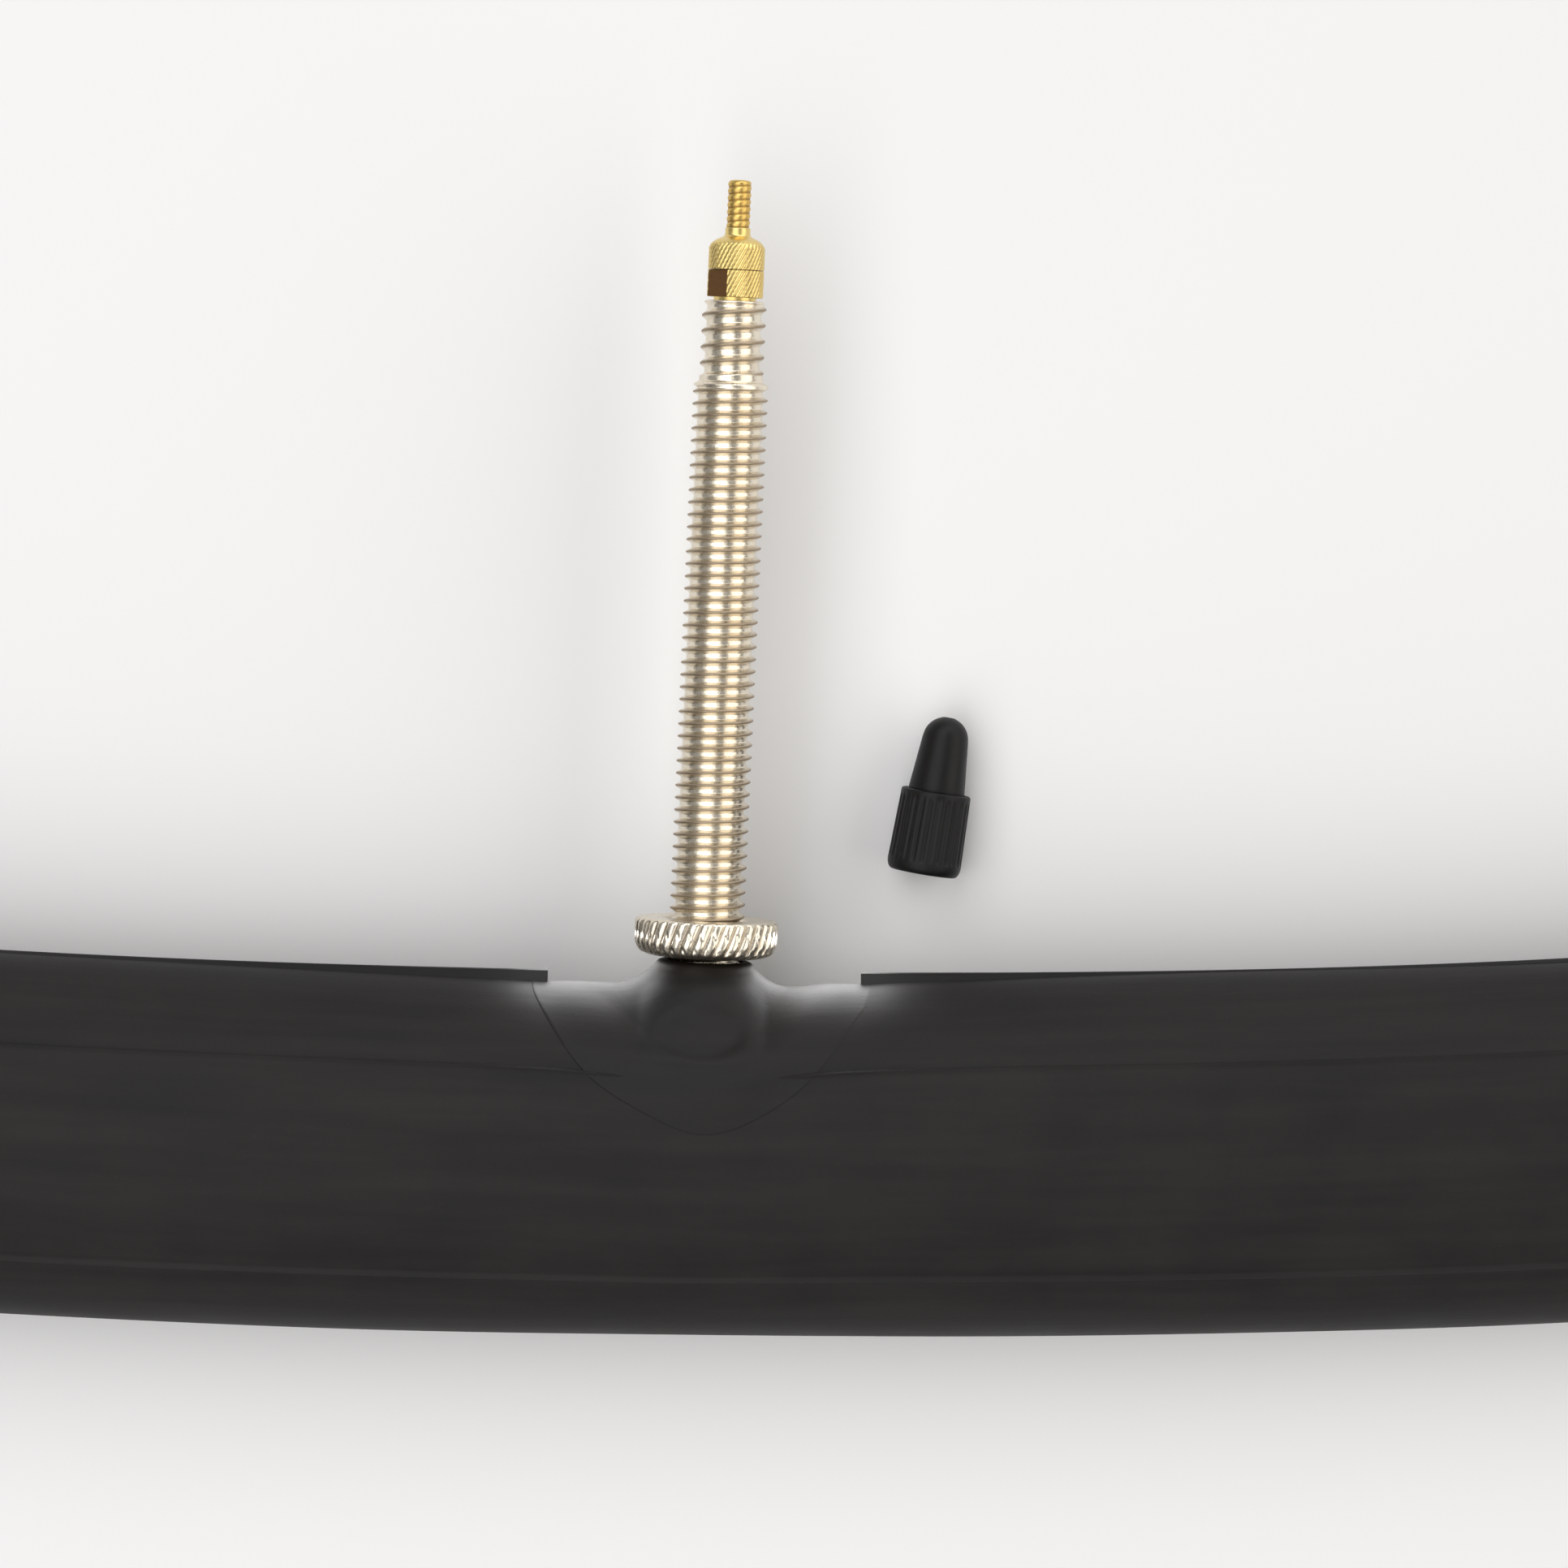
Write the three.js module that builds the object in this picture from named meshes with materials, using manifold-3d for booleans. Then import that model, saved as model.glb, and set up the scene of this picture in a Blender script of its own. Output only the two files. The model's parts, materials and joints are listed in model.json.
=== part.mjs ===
// Bicycle inner tube for a 700C wheel and a 25 to 32 mm tyre, half inflated and lying flat, with a
// 60 mm threaded valve of the slim high-pressure kind: a removable core, a lock nut that seals the
// pin, a round rim nut, and a loose dust cap beside the valve.
// Millimetres, +Z up. The ring lies in XY on z = 0, with the valve on the -Y side pointing to +Y.
import * as THREE from 'three';
import { mergeVertices } from 'three/addons/utils/BufferGeometryUtils.js';
import Module from 'manifold-3d';

const wasm = await Module();
wasm.setup();

// Ring: a loop a little flattened on the valve side. Each bend takes a share off the radius, as a
// cosine of two, three and four times the turn around the ring.
const RING_RADIUS = 308;
const RING_OVAL = 0.06;
const RING_FLAT_SIDE = 0.04;
const RING_SQUARE = 0.01;

// Tube section: an ellipse with a narrow flat where it rests.
const TUBE_WIDTH = 29;
const TUBE_HEIGHT = 20.4;
const REST_DEPTH = 10;
const TUBE_WALL = 0.8;
const RING_SECTIONS = 96;
const SECTION_SIDES = 20;
const SECTION_CROWDING = 0.8;

// Around the valve the tube is lifted by the base under it, and its inner edge is drawn in.
const VALVE_LIFT = 0.9;
const LIFT_REACH = 45;
const DENT_DEPTH = 3.2;
const DENT_REACH = 15;
const DENT_SPREAD = 1.3;
const AIR_HOLE_RADIUS = 2.6;

// Valve base: an oval rubber patch that wraps the inner edge, with a round boss around the stem.
const PATCH_HALF_LENGTH = 13.8;
const PATCH_WRAP = 1.4;
const PATCH_THICKNESS = 0.8;
const PATCH_EDGE = 0.3;
const SKIN_GAP = 0.3;
const BOSS_TOP = 1.05;
const BOSS_TOP_RADIUS = 3.85;
const BOSS_FOOT_RADIUS = 7;
const BOSS_SIDE = [[6.58, -1], [5.53, -0.1], [4.9, 0.6]];
const UNDERSIDE_SHARES = [0.62, 0.8, 1];
const TOP_SIDE_SHARES = [0.9, 0.72, 0.58];
const BASE_FLOOR = -2.55;
const POCKET_RADIUS = 5;
const POCKET_SURROUND = 0.4;
const POCKET_FLOOR = -2.1;
const POCKET_ROOF = -1;
const STEM_CLEARANCE = 0.3;

// Valve stem. Heights run along the valve's axis from the tube's inner edge.
const VALVE_LEAN = THREE.MathUtils.degToRad(2);
const STEM_RADIUS = 3;
const STEM_TOP_RADIUS = 2.55;
const STEM_FOOT_RADIUS = 4.6;
const STEM_FOOT_BOTTOM = -1.9;
const STEM_FOOT_TOP = -1.2;
const LOWER_THREAD_END = 47.2;
const STEM_END = 53.6;
const AIR_BORE_RADIUS = 1.25;
const CORE_BORE_RADIUS = 2;
const CORE_BORE_FLOOR = 34.5;

// Valve core, which screws out of the stem as one unit.
const CORE_BOTTOM = 41;
const CORE_FOOT_RADIUS = 1.6;
const CORE_SHANK_RADIUS = 1.75;
const CORE_AIRWAY_RADIUS = 0.95;
const CORE_GUIDE_RADIUS = 1.25;
const CORE_GUIDE_BOTTOM = 53.5;
const GROOVE_RADIUS = 1.3;
const GROOVE_BOTTOM = 45.5;
const GROOVE_TOP = 47.1;
const HEAD_BOTTOM = 53.9;
const HEAD_TOP = 56.1;
const HEAD_RADIUS = 2.23;
const HEAD_ACROSS_FLATS = 3.75;
const FLATS_CUT_HEIGHT = 3.2;
const FLATS_TURN = THREE.MathUtils.degToRad(-50);
const GASKET_INNER_RADIUS = 1.45;
const GASKET_OUTER_RADIUS = 1.85;
const GASKET_GAP = 0.2;

// Pin with its seal and foot, and the lock nut on its threaded end.
const PIN_TIP = 63;
const PIN_THREAD_RADIUS = 0.92;
const PIN_THREAD_BOTTOM = 56.2;
const PIN_TIP_RADIUS = 0.64;
const PIN_TIP_CHAMFER = 0.3;
const PIN_SHANK_RADIUS = 0.65;
const PIN_END = 38.7;
const SEAL_BOTTOM = 39.4;
const SEAL_TOP = 40.8;
const SEAL_RADIUS = 1.6;
const SOCKET_RADIUS = 0.85;
const FOOT_BOTTOM = 38;
const FOOT_TOP = 39.2;
const FOOT_RADIUS = 1.5;
const SOCKET_FLOOR = 38.5;
const LOCK_NUT_BOTTOM = 56.4;
const LOCK_NUT_SHOULDER = 58.4;
const LOCK_NUT_TOP = 59.4;
const LOCK_NUT_BORE = 1.13;
const LOCK_NUT_NECK_RADIUS = 1.4;

// Rim nut, screwed down to just above the boss.
const RIM_NUT_BOTTOM = 1.4;
const RIM_NUT_HEIGHT = 3;
const RIM_NUT_RADIUS = 5.7;
const RIM_NUT_BORE = 3.25;
const RIM_NUT_ROUNDING = 1.1;
const RIM_NUT_ROUNDING_STEP = 0.33;
const RIM_NUT_CHAMFER = 0.25;

// Dust cap, lying on its side: a ribbed skirt, then a cone with a domed end.
const CAP_LENGTH = 12.8;
const CAP_SKIRT_LENGTH = 6.7;
const CAP_SKIRT_RADIUS = 3;
const CAP_CONE_BASE_RADIUS = 2.35;
const CAP_DOME_RADIUS = 1.85;
const CAP_BORE_RADIUS = 2.6;
const CAP_BORE_CHAMFER = 0.9;
const CAP_TIP_BORE_RADIUS = 1.3;
const CAP_TIP_BORE_CHAMFER = 0.6;
const CAP_ROOF = 11.7;
const CAP_BESIDE = 17.5;
const CAP_ALONG = 7.7;
const CAP_LEAN = THREE.MathUtils.degToRad(9);
const CAP_CLEAR = 0.02;

const TURNED_SIDES = 24;
const BASE_SIDES = 32;

// ---- Solids ----

function toSolid(geometry) {
  const bare = geometry.clone();
  bare.deleteAttribute('normal');
  bare.deleteAttribute('uv');
  const merged = mergeVertices(bare, 1e-4);
  return new wasm.Manifold(new wasm.Mesh({
    numProp: 3,
    vertProperties: new Float32Array(merged.attributes.position.array),
    triVerts: new Uint32Array(merged.index.array),
  }));
}

function toGeometry(solid) {
  const mesh = solid.getMesh();
  const geometry = new THREE.BufferGeometry();
  geometry.setAttribute('position', new THREE.BufferAttribute(mesh.vertProperties, 3));
  geometry.setIndex(new THREE.BufferAttribute(mesh.triVerts, 1));
  return geometry;
}

// A body of revolution about the valve's axis, local +Y, from [radius, height] pairs. The profile
// climbs on the outside. A bored one comes back to its first pair.
function turned(profile, sides = TURNED_SIDES) {
  return new THREE.LatheGeometry(profile.map(([r, h]) => new THREE.Vector2(r, h)), sides);
}

function bored(profile, sides = TURNED_SIDES) {
  return turned([...profile, profile[0]], sides);
}

// ---- Ring and skin ----

function ringRadius(turn) {
  const shares = RING_OVAL * Math.cos(2 * turn)
    + RING_FLAT_SIDE * Math.cos(3 * turn)
    + RING_SQUARE * Math.cos(4 * turn);
  return RING_RADIUS * (1 - shares);
}

function ringSlope(turn) {
  return RING_RADIUS * (2 * RING_OVAL * Math.sin(2 * turn)
    + 3 * RING_FLAT_SIDE * Math.sin(3 * turn)
    + 4 * RING_SQUARE * Math.sin(4 * turn));
}

const VALVE_RING_RADIUS = ringRadius(0);

// A point of the tube's skin. turn goes around the ring from the valve, round goes around the
// section from the inner edge over the top, and proud is the distance outside the skin.
function skinPoint(turn, round, proud) {
  const r = ringRadius(turn);
  const slope = ringSlope(turn);
  const centre = new THREE.Vector3(r * Math.sin(turn), -r * Math.cos(turn), REST_DEPTH);
  const along = new THREE.Vector3(
    slope * Math.sin(turn) + r * Math.cos(turn),
    r * Math.sin(turn) - slope * Math.cos(turn),
    0,
  ).normalize();
  const inward = new THREE.Vector3(-along.y, along.x, 0);
  const distance = VALVE_RING_RADIUS * Math.atan2(Math.sin(turn), Math.cos(turn));
  const dent = DENT_DEPTH
    * Math.exp(-((distance / DENT_REACH) ** 2))
    * Math.exp(-((round / DENT_SPREAD) ** 2));
  const lift = VALVE_LIFT * Math.exp(-((distance / LIFT_REACH) ** 2));
  const outwards = new THREE.Vector2(Math.cos(round) / TUBE_WIDTH, Math.sin(round) / TUBE_HEIGHT)
    .setLength(proud);
  const across = TUBE_WIDTH / 2 * Math.cos(round) - dent + outwards.x;
  const resting = Math.max(TUBE_HEIGHT / 2 * Math.sin(round), -REST_DEPTH);
  centre.addScaledVector(inward, across);
  centre.z += resting + outwards.y + lift;
  return centre;
}

// A closed skin around the whole ring, with its sections crowded towards the valve.
function ringSkin(proud) {
  const geometry = new THREE.TorusGeometry(2, 1, SECTION_SIDES, RING_SECTIONS);
  const { position, uv } = geometry.attributes;
  for (let i = 0; i < position.count; i += 1) {
    const step = 2 * Math.PI * (uv.getX(i) % 1);
    const turn = step - SECTION_CROWDING * Math.sin(step);
    const side = (uv.getY(i) % 1) + 0.5 / SECTION_SIDES;
    const round = Math.PI - 2 * Math.PI * side;
    const point = skinPoint(turn, round, proud);
    position.setXYZ(i, point.x, point.y, point.z);
  }
  return geometry;
}

// ---- Valve frame ----

// The valve's parts share one frame: origin on the tube's inner edge, +Y along the stem.
const valve = new THREE.Group();
valve.position.set(0, TUBE_WIDTH / 2 - VALVE_RING_RADIUS, REST_DEPTH + VALVE_LIFT);
valve.rotation.z = -VALVE_LEAN;
valve.updateMatrix();

// ---- Tube ----

function makeInnerTube() {
  const outside = toSolid(ringSkin(0));
  const inside = toSolid(ringSkin(-TUBE_WALL));
  const drillLength = 3 * DENT_DEPTH;
  const drill = new THREE.CylinderGeometry(AIR_HOLE_RADIUS, AIR_HOLE_RADIUS, drillLength, TURNED_SIDES);
  drill.translate(0, -DENT_DEPTH, 0);
  drill.applyMatrix4(valve.matrix);
  return toGeometry(outside.subtract(inside).subtract(toSolid(drill)));
}

// The base is turned as a flat disc with a boss. Rings within the boss keep their place in the
// valve's frame, and rings outside it are laid on the skin, where heights are above the skin.
function makeValveBase() {
  const bottom = SKIN_GAP;
  const top = SKIN_GAP + PATCH_THICKNESS;
  const geometry = bored([
    [AIR_HOLE_RADIUS, BASE_FLOOR],
    [POCKET_RADIUS + POCKET_SURROUND, BASE_FLOOR],
    ...UNDERSIDE_SHARES.map((share) => [share * PATCH_HALF_LENGTH, bottom]),
    [PATCH_HALF_LENGTH, bottom + PATCH_EDGE],
    ...TOP_SIDE_SHARES.map((share) => [share * PATCH_HALF_LENGTH, top]),
    ...BOSS_SIDE,
    [BOSS_TOP_RADIUS, BOSS_TOP],
    [STEM_RADIUS + STEM_CLEARANCE, BOSS_TOP],
    [STEM_RADIUS + STEM_CLEARANCE, POCKET_ROOF],
    [POCKET_RADIUS, POCKET_ROOF],
    [POCKET_RADIUS, POCKET_FLOOR],
    [AIR_HOLE_RADIUS, POCKET_FLOOR],
  ], BASE_SIDES);
  const { position } = geometry.attributes;
  const point = new THREE.Vector3();
  for (let i = 0; i < position.count; i += 1) {
    point.fromBufferAttribute(position, i);
    if (Math.hypot(point.x, point.z) < BOSS_FOOT_RADIUS) {
      point.applyMatrix4(valve.matrix);
    } else {
      const turn = point.x / VALVE_RING_RADIUS;
      point.copy(skinPoint(turn, PATCH_WRAP * point.z / PATCH_HALF_LENGTH, point.y));
    }
    position.setXYZ(i, point.x, point.y, point.z);
  }
  return geometry;
}

// ---- Valve parts ----

function makeStem() {
  return bored([
    [STEM_FOOT_RADIUS, STEM_FOOT_BOTTOM],
    [STEM_FOOT_RADIUS, STEM_FOOT_TOP],
    [STEM_RADIUS, STEM_FOOT_TOP],
    [STEM_RADIUS, LOWER_THREAD_END],
    [STEM_TOP_RADIUS, LOWER_THREAD_END],
    [STEM_TOP_RADIUS, STEM_END],
    [CORE_BORE_RADIUS, STEM_END],
    [CORE_BORE_RADIUS, CORE_BORE_FLOOR],
    [AIR_BORE_RADIUS, CORE_BORE_FLOOR - CORE_BORE_RADIUS + AIR_BORE_RADIUS],
    [AIR_BORE_RADIUS, STEM_FOOT_BOTTOM],
  ]);
}

// The core's head has two flats for a core key.
function makeCoreBody() {
  const blank = toSolid(bored([
    [CORE_FOOT_RADIUS, CORE_BOTTOM],
    [CORE_FOOT_RADIUS, GROOVE_BOTTOM],
    [GROOVE_RADIUS, GROOVE_BOTTOM],
    [GROOVE_RADIUS, GROOVE_TOP],
    [CORE_SHANK_RADIUS, GROOVE_TOP],
    [CORE_SHANK_RADIUS, HEAD_BOTTOM],
    [HEAD_RADIUS, HEAD_BOTTOM],
    [HEAD_RADIUS, HEAD_TOP],
    [CORE_GUIDE_RADIUS, HEAD_TOP],
    [CORE_GUIDE_RADIUS, CORE_GUIDE_BOTTOM],
    [CORE_AIRWAY_RADIUS, CORE_GUIDE_BOTTOM],
    [CORE_AIRWAY_RADIUS, CORE_BOTTOM],
  ]));
  let core = blank;
  for (const side of [-1, 1]) {
    const cutter = new THREE.BoxGeometry(2 * HEAD_RADIUS, FLATS_CUT_HEIGHT, HEAD_RADIUS);
    cutter.translate(0, (HEAD_TOP + HEAD_BOTTOM) / 2, side * (HEAD_ACROSS_FLATS + HEAD_RADIUS) / 2);
    cutter.rotateY(FLATS_TURN);
    core = core.subtract(toSolid(cutter));
  }
  return toGeometry(core);
}

function makeCoreGasket() {
  return bored([
    [GASKET_OUTER_RADIUS, GROOVE_BOTTOM + GASKET_GAP],
    [GASKET_OUTER_RADIUS, GROOVE_TOP - GASKET_GAP],
    [GASKET_INNER_RADIUS, GROOVE_TOP - GASKET_GAP],
    [GASKET_INNER_RADIUS, GROOVE_BOTTOM + GASKET_GAP],
  ]);
}

function makePin() {
  return turned([
    [0, PIN_END],
    [PIN_SHANK_RADIUS, PIN_END],
    [PIN_SHANK_RADIUS, PIN_THREAD_BOTTOM],
    [PIN_THREAD_RADIUS, PIN_THREAD_BOTTOM],
    [PIN_THREAD_RADIUS, PIN_TIP - PIN_TIP_CHAMFER],
    [PIN_TIP_RADIUS, PIN_TIP],
    [0, PIN_TIP],
  ]);
}

function makePinSeal() {
  return bored([
    [SEAL_RADIUS, SEAL_BOTTOM],
    [SEAL_RADIUS, SEAL_TOP],
    [SOCKET_RADIUS, SEAL_TOP],
    [SOCKET_RADIUS, SEAL_BOTTOM],
  ]);
}

function makePinFoot() {
  return turned([
    [0, FOOT_BOTTOM],
    [FOOT_RADIUS, FOOT_BOTTOM],
    [FOOT_RADIUS, FOOT_TOP],
    [SOCKET_RADIUS, FOOT_TOP],
    [SOCKET_RADIUS, SOCKET_FLOOR],
    [0, SOCKET_FLOOR],
  ]);
}

function makeLockNut() {
  return bored([
    [HEAD_RADIUS, LOCK_NUT_BOTTOM],
    [HEAD_RADIUS, LOCK_NUT_SHOULDER],
    [LOCK_NUT_NECK_RADIUS, LOCK_NUT_TOP],
    [LOCK_NUT_BORE, LOCK_NUT_TOP],
    [LOCK_NUT_BORE, LOCK_NUT_BOTTOM],
  ]);
}

function makeRimNut() {
  const top = RIM_NUT_BOTTOM + RIM_NUT_HEIGHT;
  return bored([
    [RIM_NUT_RADIUS - RIM_NUT_ROUNDING, RIM_NUT_BOTTOM],
    [RIM_NUT_RADIUS - RIM_NUT_ROUNDING_STEP, RIM_NUT_BOTTOM + RIM_NUT_ROUNDING_STEP],
    [RIM_NUT_RADIUS, RIM_NUT_BOTTOM + RIM_NUT_ROUNDING],
    [RIM_NUT_RADIUS, top - RIM_NUT_CHAMFER],
    [RIM_NUT_RADIUS - RIM_NUT_CHAMFER, top],
    [RIM_NUT_BORE, top],
    [RIM_NUT_BORE, RIM_NUT_BOTTOM],
  ], BASE_SIDES);
}

// The cap's own +Y runs from its mouth to its dome.
function makeDustCap() {
  const domeFoot = CAP_LENGTH - CAP_DOME_RADIUS;
  const dome = [0.25, 0.5, 0.75].map((share) => [
    CAP_DOME_RADIUS * Math.cos(share * Math.PI / 2),
    domeFoot + CAP_DOME_RADIUS * Math.sin(share * Math.PI / 2),
  ]);
  return turned([
    [0, CAP_ROOF],
    [CAP_TIP_BORE_RADIUS, CAP_ROOF - CAP_TIP_BORE_CHAMFER],
    [CAP_TIP_BORE_RADIUS, CAP_SKIRT_LENGTH + CAP_TIP_BORE_CHAMFER],
    [CAP_BORE_RADIUS - CAP_BORE_CHAMFER, CAP_SKIRT_LENGTH],
    [CAP_BORE_RADIUS, CAP_SKIRT_LENGTH - CAP_BORE_CHAMFER],
    [CAP_BORE_RADIUS, 0],
    [CAP_SKIRT_RADIUS, 0],
    [CAP_SKIRT_RADIUS, CAP_SKIRT_LENGTH],
    [CAP_CONE_BASE_RADIUS, CAP_SKIRT_LENGTH],
    [CAP_DOME_RADIUS, domeFoot],
    ...dome,
    [0, CAP_LENGTH],
  ]);
}

// ---- Assembly ----

const rubber = { color: 0x2b2927, roughness: 0.72, metalness: 0 };
const sealRubber = { color: 0x1d1c1b, roughness: 0.6, metalness: 0 };
const nickel = { color: 0xc9bda6, roughness: 0.28, metalness: 1 };
const brass = { color: 0xc9a24a, roughness: 0.34, metalness: 1 };
const blackPlastic = { color: 0x161616, roughness: 0.5, metalness: 0 };
const gasketPlastic = { color: 0xe8e4da, roughness: 0.5, metalness: 0 };

function piece(name, geometry, finish) {
  const mesh = new THREE.Mesh(geometry, new THREE.MeshStandardMaterial(finish));
  mesh.name = name;
  return mesh;
}

valve.add(
  piece('valve_stem', makeStem(), nickel),
  piece('core_body', makeCoreBody(), brass),
  piece('core_gasket', makeCoreGasket(), gasketPlastic),
  piece('valve_pin', makePin(), brass),
  piece('pin_seal', makePinSeal(), sealRubber),
  piece('pin_foot', makePinFoot(), brass),
  piece('lock_nut', makeLockNut(), brass),
  piece('rim_nut', makeRimNut(), nickel),
);

const dustCap = piece('dust_cap', makeDustCap(), blackPlastic);
dustCap.position.set(
  valve.position.x + CAP_BESIDE,
  valve.position.y + CAP_ALONG,
  CAP_SKIRT_RADIUS + CAP_CLEAR,
);
dustCap.rotation.z = -CAP_LEAN;

const part = new THREE.Group();
part.add(
  piece('inner_tube', makeInnerTube(), rubber),
  piece('valve_base_patch', makeValveBase(), rubber),
  valve,
  dustCap,
);

// The origin is under the middle of the part's own box, on the surface that it lies on.
const box = new THREE.Box3().setFromObject(part);
const middle = box.getCenter(new THREE.Vector3());
part.position.set(-middle.x, -middle.y, -box.min.z);

export default part;
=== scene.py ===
"""Looks of a bicycle inner tube: a rubber ring with a long threaded valve, its nuts and a dust cap."""

import json
import math

import bmesh
import bpy
import numpy as np
from mathutils import Matrix, Vector


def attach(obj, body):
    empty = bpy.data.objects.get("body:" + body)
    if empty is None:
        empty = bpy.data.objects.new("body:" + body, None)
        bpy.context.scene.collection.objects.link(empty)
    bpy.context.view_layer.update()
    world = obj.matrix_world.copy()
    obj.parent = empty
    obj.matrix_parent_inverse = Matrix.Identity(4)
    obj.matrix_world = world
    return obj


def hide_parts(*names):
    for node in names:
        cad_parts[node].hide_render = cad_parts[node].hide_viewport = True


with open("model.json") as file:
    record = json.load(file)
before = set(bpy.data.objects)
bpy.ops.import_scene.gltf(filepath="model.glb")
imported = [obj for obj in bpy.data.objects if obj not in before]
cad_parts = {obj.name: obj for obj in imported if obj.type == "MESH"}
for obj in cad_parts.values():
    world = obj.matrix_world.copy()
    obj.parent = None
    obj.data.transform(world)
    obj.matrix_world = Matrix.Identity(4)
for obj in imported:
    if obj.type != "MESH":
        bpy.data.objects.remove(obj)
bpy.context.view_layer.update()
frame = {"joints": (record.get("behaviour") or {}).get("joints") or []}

MM = 0.001
WELD = 1e-7
TAU = 2 * math.pi
JOINTS = {joint["name"]: joint for joint in frame["joints"]}

# ---- The valve's frame: origin on the tube's inner edge, +Y along the stem, millimetres ----
VALVE_FOOT = Vector(JOINTS["lock_nut_turn"]["pos_m"])
VALVE_AXIS = Vector(JOINTS["lock_nut_turn"]["axis"]).normalized()
UP = Vector((0, 0, 1))
VALVE_SIDE = VALVE_AXIS.cross(UP)
VALVE = Matrix.Translation(VALVE_FOOT) @ Matrix((VALVE_SIDE, VALVE_AXIS, UP)).transposed().to_4x4()

# ---- The ring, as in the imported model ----
RING_RADIUS = 308
RING_OVAL = 0.06
RING_FLAT_SIDE = 0.04
RING_SQUARE = 0.01
TUBE_WIDTH = 29
TUBE_HEIGHT = 20.4
REST_DEPTH = 10
VALVE_LIFT = 0.9
LIFT_REACH = 45
VALVE_RING_RADIUS = RING_RADIUS * (1 - RING_OVAL - RING_FLAT_SIDE - RING_SQUARE)
RING_SHIFT = VALVE_FOOT.y / MM - TUBE_WIDTH / 2 + VALVE_RING_RADIUS


# ---- Mesh helpers ----

def smooth(t):
    t = np.clip(t, 0, 1)
    return t * t * (3 - 2 * t)


def grid_faces(rows, columns, close_rows, close_columns):
    """Quads over a rows x columns grid of vertices."""
    row = np.arange(rows if close_rows else rows - 1)
    column = np.arange(columns if close_columns else columns - 1)
    i, j = (a.ravel() for a in np.meshgrid(row, column, indexing="ij"))
    k, m = (i + 1) % rows, (j + 1) % columns
    return np.stack([i * columns + j, i * columns + m, k * columns + m, k * columns + j], axis=1)


def make_piece(name, points, faces, attributes=None, sharp=40):
    """A smooth-shaded mesh object from points in metres. attributes holds one number per point."""
    mesh = bpy.data.meshes.new(name)
    mesh.from_pydata(points.reshape(-1, 3).tolist(), [], faces.tolist())
    for key, values in (attributes or {}).items():
        layer = mesh.attributes.new(key, "FLOAT", "POINT")
        layer.data.foreach_set("value", np.asarray(values, np.float32).ravel())
    built = bmesh.new()
    built.from_mesh(mesh)
    bmesh.ops.remove_doubles(built, verts=built.verts, dist=WELD)
    bmesh.ops.recalc_face_normals(built, faces=built.faces)
    built.to_mesh(mesh)
    built.free()
    mesh.shade_smooth()
    mesh.set_sharp_from_angle(angle=math.radians(sharp))
    piece = bpy.data.objects.new(name, mesh)
    bpy.context.scene.collection.objects.link(piece)
    return piece


LONGEST_EASE = 0.45
LEVEL = 1e-6


def eased(profile, radius, steps=3):
    """The profile with each inner corner rounded: an arc-like curve that starts radius from it, or
    just short of the middle of a shorter side."""
    points = [np.array(p, float) for p in profile]
    out = [points[0]]
    for before, corner, after in zip(points, points[1:], points[2:]):
        reach_in = min(radius, LONGEST_EASE * np.linalg.norm(corner - before))
        reach_out = min(radius, LONGEST_EASE * np.linalg.norm(after - corner))
        start = corner + (before - corner) / np.linalg.norm(before - corner) * reach_in
        end = corner + (after - corner) / np.linalg.norm(after - corner) * reach_out
        for t in np.linspace(0, 1, steps + 1):
            out.append((1 - t) ** 2 * start + 2 * t * (1 - t) * corner + t * t * end)
    out.append(points[-1])
    return out


def refined(profile, low, high, step):
    """The profile with points every step along its nearly straight climbs between two heights."""
    out = [profile[0]]
    for a, b in zip(profile, profile[1:]):
        inside = min(a[1], b[1]) >= low - LEVEL and max(a[1], b[1]) <= high + LEVEL
        parts = max(1, int(math.ceil(abs(b[1] - a[1]) / step))) if inside else 1
        for part in range(1, parts + 1):
            out.append(a + (b - a) * part / parts)
    return out


def turned(name, profile, sides, place=VALVE, shape=None, sharp=40):
    """A body of revolution about local +Y. shape(angle, radius, height) gives the final radius, and a
    shade from 0 where the surface is dark to 1 where it is bright, which the metals read as crest."""
    profile = np.array(profile, float)
    angle = np.arange(sides) * TAU / sides
    angle, radius = np.meshgrid(angle, profile[:, 0])
    height = np.broadcast_to(profile[:, 1:2], radius.shape)
    crest = np.ones_like(radius)
    if shape:
        radius, crest = shape(angle, radius, height)
    local = np.stack([radius * np.sin(angle), height, radius * np.cos(angle)], axis=-1) * MM
    world = local @ np.array(place.to_3x3()).T + np.array(place.translation)
    faces = grid_faces(len(profile), sides, False, True)
    return make_piece(name, world, faces, {"crest": crest}, sharp)


THREAD_FADE = 0.4
KNURL_GAIN, KNURL_CROSSING = 1.7, 0.65


def ridge(phase, flat, root):
    """A thread's height over one turn: 1 on a crest, 0 in the root, which take these shares of it."""
    t = np.abs(2 * (phase % 1) - 1)
    return np.clip((1 - root - t) / (1 - root - flat), 0, 1)


def threaded(angle, radius, height, low, high, pitch, depth, flat=0.16, root=0.06, dark_crests=False):
    """Cuts a right-handed thread into a cylinder between two heights. Its crests or its roots are dark."""
    crest = ridge(height / pitch - angle / TAU, flat, root)
    ends = smooth((height - low) / THREAD_FADE) * smooth((high - height) / THREAD_FADE)
    # Dark crests are painted shade on the flank below each crest. Dark roots are darker metal in the
    # hollows.
    dark = crest if dark_crests else 1 - crest
    return radius - depth * (1 - crest) * ends, 1 - dark * ends


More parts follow.
